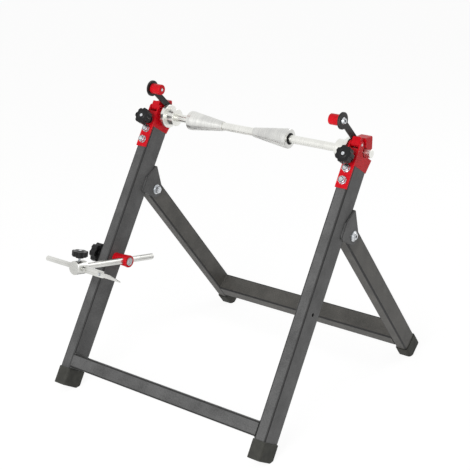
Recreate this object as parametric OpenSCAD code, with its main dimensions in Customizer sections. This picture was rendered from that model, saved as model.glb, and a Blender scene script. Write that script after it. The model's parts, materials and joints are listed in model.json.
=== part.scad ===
// Folding wheel balancing stand: two leaning uprights carry a ball-bearing shaft with centring cones,
// a rear frame folds out behind them, and a runout gauge is clamped to the left upright.
// Millimetres, +Z up, +Y to the rear, +X to the right. The origin is on the floor, at the middle of
// the overall box.

/* [Front frame] */
// Distance between the middles of the two uprights
upright_gap = 600; // [560:1:700]
// Width of an upright's tube, side to side
tube_w = 30; // [28:1:34]
// Depth of an upright's tube, front to back
tube_d = 60; // [56:1:66]
// Wall of every frame tube
tube_wall = 2; // [1.5:0.1:3]
// Outer corner radius of every frame tube
tube_round = 4; // [3.2:0.1:6]
// How far the uprights lean back from upright
upright_lean = 32; // [28:0.5:36]
// Length from the sole of a front foot to the top of the upright's tube
upright_top = 697; // [660:1:740]
// Side of the square front crossbar tube
crossbar_size = 35; // [30:1:40]
// Gap between the front crossbar and the front feet
crossbar_gap = 4; // [1:1:60]

/* [Rear frame] */
// Width of a rear leg's tube, side to side
leg_w = 30; // [26:1:34]
// Depth of a rear leg's tube
leg_d = 50; // [46:1:51]
// How far the rear legs lean forward from upright when the stand is open
leg_lean = 39.5; // [35:0.5:44]
// Depth of the rear crossbar tube
rear_bar_d = 50; // [40:1:54]
// Height of the rear crossbar tube along the leg
rear_bar_h = 40; // [30:1:50]
// Gap between the rear crossbar and the rear feet
rear_bar_gap = 12; // [1:1:60]

/* [Fold hinge] */
// Height of the fold pivot along the upright
pivot_s = 553; // [520:1:600]
// Distance of the fold pivot behind the hinge bracket's web
pivot_back = 27; // [26.5:0.5:34]
// Radius of the hinge bolt
pivot_r = 5; // [4:0.5:6]
// Wall of the hinge bush
bush_wall = 3; // [2:0.5:4]
// Thickness of the hinge bracket's plate
bracket_t = 4; // [3:0.5:5]
// Radius of the hinge bracket's cheeks round the pivot
cheek_r = 22; // [18:1:26]
// How far the hinge bracket's cheeks lap over the upright's sides
cheek_lap = 18; // [6:1:24]
// Height of the hinge bracket above the pivot
bracket_rise = 55; // [44:1:70]
// Radius of the hinge bolt's head
pivot_head_r = 11; // [8:0.5:12]
// Height of the hinge bolt's head
pivot_head_h = 5.5; // [4:0.5:8]

/* [Feet] */
// Wall of the rubber foot round the tube
foot_wall = 3; // [2:0.5:5]
// Height of the rubber foot
foot_h = 44; // [36:1:60]
// Thickness of rubber under the tube's end
foot_sole = 14; // [12:0.5:20]
// Depth of the corner that is cut flat to stand on the floor
foot_flat = 8; // [5:0.5:9]

/* [Heads] */
// Width of the head bracket
head_w = 31; // [30:1:40]
// Thickness of the head bracket's plate
plate_t = 4; // [3:0.5:5]
// Length of the front plate below the tube's top
plate_drop = 58; // [52:1:80]
// Distance of the upper head bolt below the tube's top
head_bolt_drop = 11; // [10:0.5:16]
// Distance between the two head bolts
head_bolt_pitch = 29; // [20:1:30]
// Radius of the head bolts
head_bolt_r = 5; // [3:0.5:5]
// Height of the shaft's axis above the tube's top
axis_rise = 41; // [39:1:50]
// How far the rear of the head stops below the shaft's axis
seat_drop = 6; // [4:0.5:12]
// How far the rear of the head leans out behind the tube, at its top
head_flare = 8; // [0:0.5:12]
// Distance of the clamp stud below the shaft's axis
stud_drop = 28; // [26.5:0.5:30]

/* [Shaft and bearings] */
// Radius of the balancing shaft
shaft_r = 10; // [8:0.5:10.5]
// Length of shaft beyond the middle of each bearing
shaft_over = 32; // [8:0.5:40]
// Outer radius of the ball bearing
bearing_r = 21; // [20:0.5:21.5]
// Width of the ball bearing
bearing_w = 12; // [10:0.5:14]
// Radius of a bearing ball
ball_r = 3.175; // [2.5:0.025:3.3]
// Number of balls in a bearing
ball_count = 9; // [6:1:10]
// Radius of the locating collar's flange
collar_r = 30; // [24:1:34]
// Width of the locating collar's flange
collar_flange = 10; // [6:1:14]
// Radius of the locating collar's hub
collar_hub_r = 22; // [18:1:23]
// Length of the locating collar's hub
collar_hub = 24; // [14:1:36]
// Gap between the collar's flange and the keeper's lever
collar_gap = 2.6; // [1:0.2:8]

/* [Cones] */
// Radius of a cone at its small end
cone_tip_r = 12; // [11.5:0.5:14]
// Radius of a cone at its large end
cone_base_r = 24; // [20:0.5:30]
// Length of a cone
cone_len = 104; // [80:1:120]
// Length of the straight land at a cone's large end
cone_land = 10; // [9.5:0.5:16]
// Place of the right cone's large end, from the middle of the stand
cone_base_x = 107; // [100:1:120]
// Middle of the hub that the cones are set for, from the middle of the stand
hub_x = -45; // [-50:1:-30]

/* [Keepers] */
// Height of the keeper's block above the shaft
keeper_h = 31; // [27:1:36]
// Depth of the keeper's block
keeper_d = 28.5; // [24:0.5:30]
// Forward length of the lever from the keeper's pin
lever_len = 60; // [54:1:66]
// Rise of the lever's grip above the keeper's pin
lever_rise = 32; // [26:1:40]
// Thickness of the lever
lever_t = 5; // [4:0.5:6]
// Width of the lever's strip
lever_w = 16; // [10:0.5:18]
// Radius of the lever's round end
lever_eye_r = 20; // [15:0.5:20.5]
// Radius of the lever's grip
grip_r = 13; // [10:0.5:14]
// Length of the lever's grip
grip_len = 30; // [20:1:40]

/* [Star knobs] */
// Overall radius of the heads' star knobs
knob_r = 20.5; // [16:0.5:21]
// Overall radius of the gauge's large star knob
gauge_knob_r = 25; // [16:0.5:28]
// Thickness of a large star knob's head
knob_head_h = 18; // [12:0.5:18]
// Length of the hub under a head's star knob
head_hub_h = 17; // [10:0.5:20]
// Length of the hub under the gauge's large star knob
gauge_hub_h = 20; // [4:0.5:24]
// Number of lobes of a star knob
knob_lobes = 7; // [5:1:9]
// Radius of the clamp studs
stud_r = 4; // [3:0.5:4.5]
// Radius of the gauge's small star knob
small_knob_r = 19.5; // [14:0.5:22]
// Thickness of the small star knob's head
small_head_h = 13; // [10:0.5:18]
// Radius of the small knob's screw
small_screw_r = 3; // [2.5:0.5:4]

/* [Gauge] */
// Height of the gauge's hole along the upright
gauge_s = 346; // [300:1:420]
// Length of the red clamp sleeve
sleeve_len = 48; // [44:1:60]
// Radius of the sleeve's flared end
sleeve_r = 16; // [14:0.5:20]
// Radius of the gauge bar
bar_r = 8; // [5:0.5:8.5]
// Length of the bar in front of the sleeve's axis
bar_front = 161; // [150:1:190]
// Length of the bar behind the sleeve's axis
bar_rear = 105; // [94:1:140]
// How far the bar slopes down towards the rear
bar_slope = 11.6; // [5:0.2:16]
// Radius of the clamp block on the bar's front end
block_r = 17; // [15:0.5:20]
// Length of the clamp block
block_len = 36; // [32:1:48]
// Radius of the pointer's rod
pointer_r = 6.5; // [4:0.5:7]
// Length of the pointer's rod left of the bar
pointer_left = 105; // [98:1:130]
// Length of the pointer's blade, from the bar to its end
blade_len = 81; // [70:1:100]
// Height of the pointer's blade
blade_h = 16; // [13:1:20]
// Thickness of the pointer's blade
blade_t = 5; // [3:0.5:6]
// Length of the pointed tip, from the end of the blade
tip_len = 58; // [40:1:70]
// Length over which the pointer's tip narrows
tip_taper = 34; // [12:1:36]
// Height of the pointer tip's blunt end
tip_blunt = 2; // [0.5:0.5:4]
// Width of the pointed tip
tip_w = 10; // [8:0.5:12]
// Thickness of the pointed tip
tip_t = 2.5; // [1.5:0.5:4]

/* [Fits] */
// Radial clearance of every running fit
run_fit = 0.05; // [0.02:0.01:0.1]
// Radial clearance of a bolt in its hole
bolt_fit = 0.3; // [0.1:0.05:0.5]
// Gap between faces that move past each other
face_gap = 0.4; // [0.3:0.05:0.5]

/* [Hidden] */
$fn = 64;

frame_grey = "#4a4a49";
head_red = "#d3121f";
rubber_grey = "#2f2f2e";
knob_black = "#1b1b1b";
plated = "#c9ccd0";
LEFT = -1;
RIGHT = 1;
SIDES = [LEFT, RIGHT];
BIG = 2000;
SPARE = 1;  // overlap of a cutter past the face that it opens

// Hex sizes: across corners from across flats
function corners(flats) = flats / cos(30);

// Places on an upright: n is back from its front face, s is up from its sole
upright_z = (tube_d + foot_wall) * sin(upright_lean) - foot_flat;
crossbar_low = foot_h + crossbar_gap;
head_bolt_ss = [upright_top - head_bolt_drop, upright_top - head_bolt_drop - head_bolt_pitch];

// Fold hinge: a channel on the upright's rear face and sides, with the leg between its cheeks
web_n = tube_d + bracket_t;
pivot_n = web_n + pivot_back;
pivot_y = pivot_n * cos(upright_lean) + pivot_s * sin(upright_lean);
pivot_z = upright_z - pivot_n * sin(upright_lean) + pivot_s * cos(upright_lean);
cheek_in = max(leg_w, tube_w) / 2 + face_gap;
lap_n = tube_d - cheek_lap;
cheek_out = cheek_in + bracket_t;
bush_r = pivot_r + run_fit + bush_wall;
pivot_washer_r = pivot_head_r + 2;
pivot_nut_h = 8;
pivot_nut_r = corners(3.4 * pivot_r) / 2;
bolt_tail = 3;
washer_t = 1.5;
leg_stop = pivot_back - face_gap;

// Rear leg, from the pivot down to the sole of its foot
leg_reach = (pivot_z + foot_flat - (leg_d / 2 + foot_wall) * sin(leg_lean)) / cos(leg_lean);
rear_bar_low = -leg_reach + foot_h + rear_bar_gap;

// Head: the bearing drops in from the rear, behind the front ears
axis_n = tube_d / 2;
axis_s = upright_top + axis_rise;
seat_s = axis_s - seat_drop;
stud_s = axis_s - stud_drop;
side_in = head_w / 2 - plate_t;
shaft_clear_r = shaft_r + 2;
ear_depth = axis_n - shaft_clear_r - 2;
plate_top = axis_s - 2;
head_bolt_hex_r = corners(3.25 * head_bolt_r) / 2;
head_bolt_hex_h = 5.5;
head_washer_r = head_bolt_hex_r + 0.4;
lock_nut_h = 6.5;
lock_collar_h = 2.5;
head_bolt_tail = 1;

// Bearing: the balls run in a groove in each ring
ball_pitch_r = (shaft_r + bearing_r) / 2;
ring_gap = 2.1;
groove_r = ball_r + 1.5 * run_fit;
shield_t = 0.8;

// Keeper: the pin crosses the ears, and the cap hangs from it over the bearing
pin_r = 3;
pin_depth = 4;
pin_s = axis_s + shaft_r;
ear_r = 8;
cap_low = pin_s - 2;
cap_mid_n = ear_depth + 2.5 + keeper_d / 2;
cap_mid_s = cap_low + keeper_h / 2;
cap_x = head_w / 2 + face_gap;
cap_round = 3;
tongue_h = 16;
recess_r = bearing_r + face_gap;
knuckle_r = norm([axis_n - pin_depth, pin_s - axis_s]) - recess_r;  // turns clear of the bearing
lever_root_n = axis_n + 3;
lever_root_s = cap_low + lever_w;
lever_root_r = lever_w / 2 + 1.5;
grip_n = pin_depth - lever_len;
grip_s = pin_s + lever_rise;
grip_bolt_r = 4;
grip_head_r = 9;
grip_head_h = 5;
grip_round = 3;

// Star knobs: a hub, then a lobed head
knob_hub_r = 10;
scallop_out = 1.16;  // place and radius of a scallop, as shares of the head's radius
scallop_r = 0.3;
knob_cap_h = 1.2;
knob_socket = 12;
head_stud_in = 26;
small_hub_h = 4;

// Sockets and grub screws
bolt_socket_r = corners(6) / 2;
grip_socket_r = corners(5) / 2;
grub_socket_r = corners(3) / 2;
socket_depth = 3;
grub_r = 3;

// Collars, measured from the middle of the upright towards the middle of the stand
collar_x = cap_x + lever_t + collar_gap;
collar_nose_r = shaft_clear_r - face_gap;
ring_section_r = 1.6;

// Gauge, clamped to the inner side of the left upright
gauge_n = tube_d / 2;
gauge_y = gauge_n * cos(upright_lean) + gauge_s * sin(upright_lean);
gauge_z = upright_z - gauge_n * sin(upright_lean) + gauge_s * cos(upright_lean);
sleeve_x = -upright_gap / 2 + tube_w / 2;
bar_inset = 16;
bar_x = sleeve_x + sleeve_len - bar_inset;
plug_r = sleeve_r - 5;
plug_len = 5;
gauge_stud_len = sleeve_len - bar_inset - bar_r - 4;
block_y = -bar_front - pointer_r - 2;
block_front = block_y - block_len / 2 + 1;
blade_x = block_r + 4;
tip_lap = 16;
tip_screw_r = 2;
tip_head_r = 3.8;
tip_head_h = 2.4;
small_knob_gap = 7;
small_knob_z = block_r + small_knob_gap;

// Overall reach, which sets the origin at the middle of the box
knob_out = -tube_w - washer_t - face_gap - gauge_hub_h - knob_head_h - knob_cap_h;
reach_left = min(bar_x - pointer_left, sleeve_x + knob_out);
reach_right = upright_gap / 2 + max(cheek_out + washer_t + pivot_head_h, shaft_over);
reach_front = -foot_wall * cos(upright_lean);
reach_rear = pivot_y + leg_reach * sin(leg_lean) + (leg_d / 2 + foot_wall) * cos(leg_lean);
shift = [-(reach_left + reach_right) / 2, -(reach_front + reach_rear) / 2, 0];

// Frames

module on_side(side) {
    if (side < 0) mirror([1, 0, 0]) children();
    else children();
}

// Turns the shaft's frame end for end on the left side
module on_end(side) {
    if (side < 0) mirror([0, 0, 1]) children();
    else children();
}

// x to the right, y back from the front face, z up the tubes, from the middle of the stand
module on_front() {
    translate(shift + [0, 0, upright_z]) rotate([-upright_lean, 0, 0]) children();
}

// x outwards, y back from the front face, z up the tube
module on_upright(side) {
    on_front() translate([side * upright_gap / 2, 0, 0]) on_side(side) children();
}

// x to the right, y to the back of the legs, z up the legs, from the middle of the fold axis
module on_rear() {
    translate(shift + [0, pivot_y, pivot_z]) rotate([leg_lean, 0, 0]) children();
}

module on_leg(side) {
    on_rear() translate([side * upright_gap / 2, 0, 0]) on_side(side) children();
}

// x to the right, y back along the gauge bar, z square to the bar
module on_bar() {
    translate(shift + [bar_x, gauge_y, gauge_z]) rotate([-bar_slope, 0, 0]) children();
}

// z out of the sleeve towards the middle of the stand, from the upright's inner face
module on_sleeve() {
    translate(shift + [sleeve_x, gauge_y, gauge_z]) rotate([0, 90, 0]) children();
}

// z to the right along the shaft, from the middle of the stand
module on_shaft() {
    on_front() translate([0, axis_n, axis_s]) rotate([0, 90, 0]) children();
}

// z towards the cone's tip, from its large end
module on_cone(side) {
    base_x = side > 0 ? cone_base_x : 2 * hub_x - cone_base_x;
    on_shaft() translate([0, 0, base_x]) on_end(-side) children();
}

// Shared shapes

module round_rect(w, d, r) {
    square([w - 2 * r, d], center = true);
    square([w, d - 2 * r], center = true);
    for (x = [-1, 1], y = [-1, 1]) translate([x * (w / 2 - r), y * (d / 2 - r)]) circle(r);
}

module tube_section(w, d) {
    difference() {
        round_rect(w, d, tube_round);
        round_rect(w - 2 * tube_wall, d - 2 * tube_wall, tube_round - tube_wall);
    }
}

module x_rod(r, x0, x1) {
    translate([x0, 0, 0]) rotate([0, 90, 0]) cylinder(r = r, h = x1 - x0);
}

module y_rod(r, y0, y1) {
    translate([0, y0, 0]) rotate([-90, 0, 0]) cylinder(r = r, h = y1 - y0);
}

module ring(r_out, r_in, h) {
    difference() {
        cylinder(r = r_out, h = h);
        translate([0, 0, -SPARE]) cylinder(r = r_in, h = h + 2 * SPARE);
    }
}

module hex_nut(r_hex, r_hole, h) {
    difference() {
        cylinder(r = r_hex, h = h, $fn = 6);
        translate([0, 0, -SPARE]) cylinder(r = r_hole, h = h + 2 * SPARE);
    }
}

// A nut with a round collar, recessed on top for the soft ring that grips the thread
module lock_nut(r_hex, r_hole) {
    collar_out = 0.78 * r_hex;
    difference() {
        union() {
            hex_nut(r_hex, r_hole, lock_nut_h);
            translate([0, 0, lock_nut_h - SPARE]) ring(collar_out, r_hole, lock_collar_h + SPARE);
        }
        translate([0, 0, lock_nut_h])
            cylinder(r = (r_hole + 2 * collar_out) / 3, h = lock_collar_h + SPARE);
    }
}

// A plate in the plane of n and s, from x0 to x1
module side_plate(x0, x1) {
    translate([x0, 0, 0]) rotate([90, 0, 90]) linear_extrude(x1 - x0) children();
}

module above_floor() {
    difference() {
        children();
        translate([-BIG / 2, -BIG / 2, -BIG]) cube(BIG);
    }
}

module foot_cap(w, d) {
    difference() {
        linear_extrude(foot_h) round_rect(w + 2 * foot_wall, d + 2 * foot_wall, tube_round + foot_wall);
        translate([0, 0, foot_sole]) linear_extrude(foot_h) round_rect(w, d, tube_round);
    }
}

// A round head with a shallow scallop between every two lobes
module star_outline(r) {
    difference() {
        circle(r);
        for (i = [0 : knob_lobes - 1])
            rotate((i + 0.5) * 360 / knob_lobes) translate([r * scallop_out, 0]) circle(r * scallop_r);
    }
}

// A star knob on +Z, its hub's face at z = 0, with a blind hole for its stud
module star_knob(r, hub_h, head_h, hole_r) {
    color(knob_black) difference() {
        union() {
            cylinder(r = min(knob_hub_r, r * 0.55), h = hub_h + SPARE);
            translate([0, 0, hub_h]) linear_extrude(head_h) star_outline(r);
            translate([0, 0, hub_h + head_h]) cylinder(r1 = r * 0.5, r2 = r * 0.42, h = knob_cap_h);
        }
        translate([0, 0, -SPARE]) cylinder(r = hole_r, h = knob_socket + SPARE);
    }
}

// A cone-sided screw head on +Z with a hex socket, on a shank that runs down from z = 0
module socket_screw(shank_r, shank_len, head_r, head_h, hex_r) {
    difference() {
        union() {
            translate([0, 0, -shank_len]) cylinder(r = shank_r, h = shank_len + head_h / 2);
            cylinder(r1 = head_r, r2 = head_r * 0.72, h = head_h);
        }
        translate([0, 0, head_h - socket_depth]) cylinder(r = hex_r, h = socket_depth + SPARE, $fn = 6);
    }
}

// A grub screw on +Z with a hex socket in its top
module grub(z0, z1) {
    color(knob_black) difference() {
        translate([0, 0, z0]) cylinder(r = grub_r, h = z1 - z0);
        translate([0, 0, z1 - socket_depth]) cylinder(r = grub_socket_r, h = socket_depth + SPARE, $fn = 6);
    }
}

// Front frame

module upright(side) {
    color(frame_grey) on_upright(side) difference() {
        translate([0, tube_d / 2, foot_sole])
            linear_extrude(upright_top - foot_sole) tube_section(tube_w, tube_d);
        translate([0, gauge_n, gauge_s]) x_rod(stud_r + bolt_fit, -tube_w, tube_w);
        for (s = head_bolt_ss)
            translate([0, 0, s]) y_rod(head_bolt_r + bolt_fit, -SPARE, tube_d + SPARE);
    }
}

module front_crossbar() {
    half = upright_gap / 2 - tube_w / 2;
    color(frame_grey) on_front() translate([-half, crossbar_size / 2, crossbar_low + crossbar_size / 2])
        rotate([90, 0, 90]) linear_extrude(2 * half) tube_section(crossbar_size, crossbar_size);
}

module foot_front(side) {
    color(rubber_grey) above_floor() on_upright(side)
        translate([0, tube_d / 2, 0]) foot_cap(tube_w, tube_d);
}

// The cheek's outline in n and s: round on the pivot, a slope up to the web, and a lap on the tube
module cheek_outline() {
    corner = [web_n, pivot_s + bracket_rise];
    pivot = [pivot_n, pivot_s];
    to_corner = corner - pivot;
    tangent = atan2(to_corner[1], to_corner[0]) - acos(cheek_r / norm(to_corner));
    polygon([
        [lap_n, pivot_s - cheek_r], [pivot_n, pivot_s - cheek_r], pivot,
        pivot + cheek_r * [cos(tangent), sin(tangent)], corner, [tube_d, pivot_s + bracket_rise],
        [lap_n, pivot_s + bracket_rise - 2 * cheek_lap]
    ]);
    translate(pivot) circle(cheek_r);
}

// A channel welded to the upright's rear face and sides
module hinge_bracket(side) {
    height = cheek_r + bracket_rise;
    color(frame_grey) on_upright(side) difference() {
        union() {
            for (x = [-cheek_out, cheek_in]) side_plate(x, x + bracket_t) cheek_outline();
            translate([-cheek_out, tube_d, pivot_s - cheek_r]) cube([2 * cheek_out, bracket_t, height]);
        }
        translate([0, pivot_n, pivot_s]) x_rod(pivot_r + bolt_fit, -tube_w, tube_w);
    }
}

// Socket screws through the fold hinges, and hex bolts from behind through the tops of the uprights
module frame_bolts() {
    seat = cheek_out + washer_t;
    front = -plate_t - washer_t - lock_nut_h - lock_collar_h - head_bolt_tail;
    back = tube_d + washer_t;
    pivot_len = 2 * seat + pivot_nut_h + bolt_tail;
    color(plated) for (side = SIDES) on_upright(side) {
        translate([seat, pivot_n, pivot_s]) rotate([0, 90, 0])
            socket_screw(pivot_r, pivot_len, pivot_head_r, pivot_head_h, bolt_socket_r);
        for (s = head_bolt_ss) translate([0, 0, s]) union() {
            y_rod(head_bolt_r, front, back + head_bolt_hex_h / 2);
            translate([0, back, 0]) rotate([-90, 30, 0])
                cylinder(r = head_bolt_hex_r, h = head_bolt_hex_h, $fn = 6);
        }
    }
}

module frame_nuts() {
    color(plated) for (side = SIDES) on_upright(side) {
        translate([-cheek_out - washer_t - pivot_nut_h, pivot_n, pivot_s]) rotate([0, 90, 0])
            hex_nut(pivot_nut_r, pivot_r, pivot_nut_h);
        for (s = head_bolt_ss) translate([0, -plate_t - washer_t, s]) rotate([90, 30, 0])
            lock_nut(head_bolt_hex_r, head_bolt_r);
    }
}

// A washer at both ends of each bolt, and one under each large star knob
module frame_washers() {
    color(plated) {
        for (side = SIDES) on_upright(side) {
            for (x = [-cheek_out - washer_t, cheek_out]) translate([x, pivot_n, pivot_s])
                rotate([0, 90, 0]) ring(pivot_washer_r, pivot_r, washer_t);
            for (s = head_bolt_ss, n = [-plate_t - washer_t, tube_d]) translate([0, n, s])
                rotate([-90, 0, 0]) ring(head_washer_r, head_bolt_r, washer_t);
            translate([0, -plate_t - washer_t, stud_s])
                rotate([-90, 0, 0]) ring(knob_hub_r, stud_r + bolt_fit, washer_t);
        }
        on_sleeve() translate([0, 0, -tube_w - washer_t]) ring(knob_hub_r, stud_r + bolt_fit, washer_t);
    }
}

// Heads

// A front plate bolted to the tube, two side plates on the tube's end, and an ear on each for the pin
module head_bracket(side) {
    color(head_red) on_upright(side) difference() {
        union() {
            translate([-head_w / 2, -plate_t, upright_top - plate_drop])
                cube([head_w, plate_t, plate_top - upright_top + plate_drop]);
            for (x = [-head_w / 2, side_in]) side_plate(x, x + plate_t) {
                seat_outline(-plate_t);
                translate([-plate_t, upright_top]) square([ear_depth + plate_t, pin_s - upright_top]);
                translate([pin_depth, pin_s]) circle(ear_r);
            }
        }
        translate([0, axis_n, axis_s]) x_rod(shaft_clear_r, -head_w, head_w);
        translate([0, pin_depth, pin_s]) x_rod(pin_r, -head_w, head_w);
        translate([0, 0, stud_s]) y_rod(stud_r + bolt_fit, -plate_t - SPARE, SPARE);
        for (s = head_bolt_ss) translate([0, 0, s]) y_rod(head_bolt_r + bolt_fit, -plate_t - SPARE, SPARE);
    }
}

// The part of the head under the shaft, in n and s, from n0 back to a rear edge that leans out
module seat_outline(n0) {
    polygon([
        [n0, upright_top], [tube_d, upright_top], [tube_d + head_flare, seat_s], [n0, seat_s]
    ]);
}

// The block that the bearing drops into, clamped between the side plates by the star knob's stud
module cradle(side) {
    pocket = bearing_w / 2 + face_gap / 2;
    color(head_red) on_upright(side) difference() {
        side_plate(-side_in, side_in) {
            seat_outline(0);
            translate([0, upright_top]) square([ear_depth, plate_top - upright_top]);
        }
        translate([0, axis_n, axis_s]) {
            x_rod(bearing_r, -pocket, pocket);
            x_rod(shaft_clear_r + SPARE, -head_w, head_w);
        }
        translate([0, 0, stud_s]) y_rod(stud_r + run_fit, -SPARE, head_stud_in + SPARE);
    }
}

module bearing_outer(side) {
    ring_in = ball_pitch_r + ring_gap;
    color(plated) on_shaft() translate([0, 0, side * upright_gap / 2]) rotate_extrude() {
        difference() {
            translate([ring_in, -bearing_w / 2]) square([bearing_r - ring_in, bearing_w]);
            translate([ball_pitch_r, 0]) circle(groove_r);
        }
        for (z = [-bearing_w / 2, bearing_w / 2 - shield_t])
            translate([ball_pitch_r - ring_gap + face_gap, z]) square([2 * ring_gap, shield_t]);
    }
}

module keeper_pins() {
    color(plated) for (side = SIDES) on_upright(side)
        translate([0, pin_depth, pin_s]) x_rod(pin_r, -head_w / 2, head_w / 2);
}

module head_knob(side) {
    on_upright(side) translate([0, -plate_t - washer_t - face_gap, stud_s]) rotate([90, 0, 0])
        star_knob(knob_r, head_hub_h, knob_head_h, stud_r);
}

module head_stud(side) {
    color(plated) on_upright(side) translate([0, 0, stud_s])
        y_rod(stud_r, -plate_t - washer_t - face_gap - knob_socket, head_stud_in);
}

// Keepers

// A hinged cap: a tongue between the ears, and a block over the bearing that stands plumb
module keeper_cap(side) {
    tongue_x = side_in - face_gap;
    recess_x = bearing_w / 2 + face_gap;
    tongue_n = pin_depth - knuckle_r;
    color(head_red) on_upright(side) difference() {
        union() {
            side_plate(-tongue_x, tongue_x) {
                translate([pin_depth, pin_s]) circle(knuckle_r);
                translate([tongue_n, pin_s]) square([cap_mid_n - tongue_n, tongue_h]);
            }
            translate([0, cap_mid_n, cap_mid_s]) rotate([upright_lean, 0, 0])
                translate([0, keeper_d / 2, -keeper_h / 2]) rotate([90, 0, 0])
                    linear_extrude(keeper_d) cap_outline();
        }
        translate([0, axis_n, axis_s]) {
            x_rod(recess_r, -recess_x, recess_x);
            x_rod(shaft_clear_r, -head_w, head_w);
        }
        translate([0, pin_depth, pin_s]) x_rod(pin_r + run_fit, -head_w, head_w);
    }
}

// The block from the front, with its two top corners rounded
module cap_outline() {
    translate([-cap_x, 0]) square([2 * cap_x, keeper_h - cap_round]);
    translate([-cap_x + cap_round, 0]) square([2 * (cap_x - cap_round), keeper_h]);
    for (x = [-1, 1]) translate([x * (cap_x - cap_round), keeper_h - cap_round]) circle(cap_round);
}

// A flat lever on the block's inner side, with a round eye that carries the grip
module keeper_lever(side) {
    root = [lever_root_n, lever_root_s];
    eye = [grip_n, grip_s];
    run = eye - root;
    color(knob_black) on_upright(side) difference() {
        side_plate(-cap_x - lever_t, -cap_x) {
            translate(eye) circle(lever_eye_r);
            translate(root) circle(lever_root_r);
            translate(root) rotate(atan2(run[1], run[0]))
                translate([0, -lever_w / 2]) square([norm(run), lever_w]);
        }
        translate([0, grip_n, grip_s]) x_rod(grip_bolt_r, -cap_x - lever_t - SPARE, -cap_x + SPARE);
    }
}

module keeper_grip(side) {
    color(head_red) on_upright(side) translate([-cap_x - lever_t, grip_n, grip_s]) rotate([0, -90, 0])
        rotate_extrude() {
            translate([grip_bolt_r, 0]) square([grip_r - grip_bolt_r, grip_len - grip_round]);
            translate([grip_bolt_r, 0]) square([grip_r - grip_round - grip_bolt_r, grip_len]);
            translate([grip_r - grip_round, grip_len - grip_round]) circle(grip_round);
        }
}

// The grip's screw, with its head on the lever's outer face
module keeper_bolt(side) {
    color(plated) on_upright(side) translate([-cap_x, grip_n, grip_s]) rotate([0, 90, 0])
        socket_screw(grip_bolt_r, lever_t + grip_len, grip_head_r, grip_head_h, grip_socket_r);
}

// Shaft

module balance_shaft() {
    half = upright_gap / 2 + shaft_over;
    chamfer = 1;
    color(plated) on_shaft() rotate_extrude() polygon([
        [0, -half], [shaft_r - chamfer, -half], [shaft_r, -half + chamfer],
        [shaft_r, half - chamfer], [shaft_r - chamfer, half], [0, half]
    ]);
}

module bearing_inner(side) {
    ring_out = ball_pitch_r - ring_gap;
    color(plated) on_shaft() translate([0, 0, side * upright_gap / 2]) rotate_extrude() difference() {
        translate([shaft_r, -bearing_w / 2]) square([ring_out - shaft_r, bearing_w]);
        translate([ball_pitch_r, 0]) circle(groove_r);
    }
}

module bearing_balls(side) {
    color(plated) on_shaft() translate([0, 0, side * upright_gap / 2])
        for (i = [0 : ball_count - 1])
            rotate(i * 360 / ball_count) translate([ball_pitch_r, 0, 0]) sphere(ball_r);
}

// z outwards, from the collar hub's inner end
module on_collar(side) {
    on_shaft() on_end(side)
        translate([0, 0, upright_gap / 2 - collar_x - collar_flange - collar_hub]) children();
}

// A hub and flange locked to the shaft by a grub screw, with a nose that meets the bearing's inner ring
module collar(side) {
    c = 1;
    flange_end = collar_hub + collar_flange;
    nose_end = flange_end + collar_x - bearing_w / 2;
    color(plated) on_collar(side) difference() {
        rotate_extrude() polygon([
            [shaft_r, 0], [collar_hub_r - c, 0], [collar_hub_r, c], [collar_hub_r, collar_hub],
            [collar_r - c, collar_hub], [collar_r, collar_hub + c], [collar_r, flange_end - c],
            [collar_r - c, flange_end], [collar_nose_r, flange_end], [collar_nose_r, nose_end],
            [shaft_r, nose_end]
        ]);
        translate([0, 0, collar_hub / 2]) rotate([-90, 0, 0]) cylinder(r = grub_r, h = 2 * collar_hub_r);
    }
}

module collar_screws() {
    for (side = SIDES) on_collar(side) translate([0, 0, collar_hub / 2]) rotate([-90, 0, 0])
        grub(shaft_r, collar_hub_r - SPARE);
}

// Cones

module cone(side) {
    bore_r = shaft_r + run_fit;
    chamfer = 1;
    color(plated) on_cone(side) difference() {
        rotate_extrude() polygon([
            [bore_r, 0], [cone_base_r - chamfer, 0], [cone_base_r, chamfer], [cone_base_r, cone_land],
            [cone_tip_r, cone_len], [bore_r, cone_len]
        ]);
        translate([0, 0, cone_screw_z()]) rotate([-90, 0, 0]) cylinder(r = grub_r, h = 2 * cone_base_r);
        translate([0, 0, -SPARE]) cylinder(r = bore_r + 2 * ring_section_r, h = SPARE + 2 * ring_section_r);
    }
}

// The grub screw sits in the land, clear of the ring's recess
function cone_screw_z() = (cone_land + 2 * ring_section_r) / 2;

module cone_screw(side) {
    on_cone(side) translate([0, 0, cone_screw_z()]) rotate([-90, 0, 0])
        grub(shaft_r + face_gap, cone_base_r - SPARE);
}

// A rubber ring in the recess of the cone's large end, close round the shaft
module cone_ring(side) {
    color(knob_black) on_cone(side) translate([0, 0, ring_section_r]) rotate_extrude()
        translate([shaft_r + run_fit + ring_section_r, 0]) circle(ring_section_r - run_fit, $fn = 32);
}

// Rear frame

// What the leg may fill: all behind the pivot, a face above the pivot that stops against the bracket's
// web, and a round end below it that clears the web as the leg folds
module leg_room() {
    translate([-tube_w, pivot_n, -BIG / 2]) cube([2 * tube_w, BIG, BIG]);
    translate([-tube_w, pivot_n - leg_stop, pivot_s]) cube([2 * tube_w, leg_stop + SPARE, 2 * leg_d]);
    translate([0, pivot_n, pivot_s]) x_rod(leg_stop - face_gap, -tube_w, tube_w);
}

module rear_leg(side) {
    top = pivot_back + leg_d / 3;
    bottom = leg_reach - foot_sole;
    color(frame_grey) intersection() {
        on_leg(side) difference() {
            translate([0, 0, -bottom]) linear_extrude(bottom + top) tube_section(leg_w, leg_d);
            x_rod(bush_r, -leg_w, leg_w);
        }
        on_upright(side) leg_room();
    }
}

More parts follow.
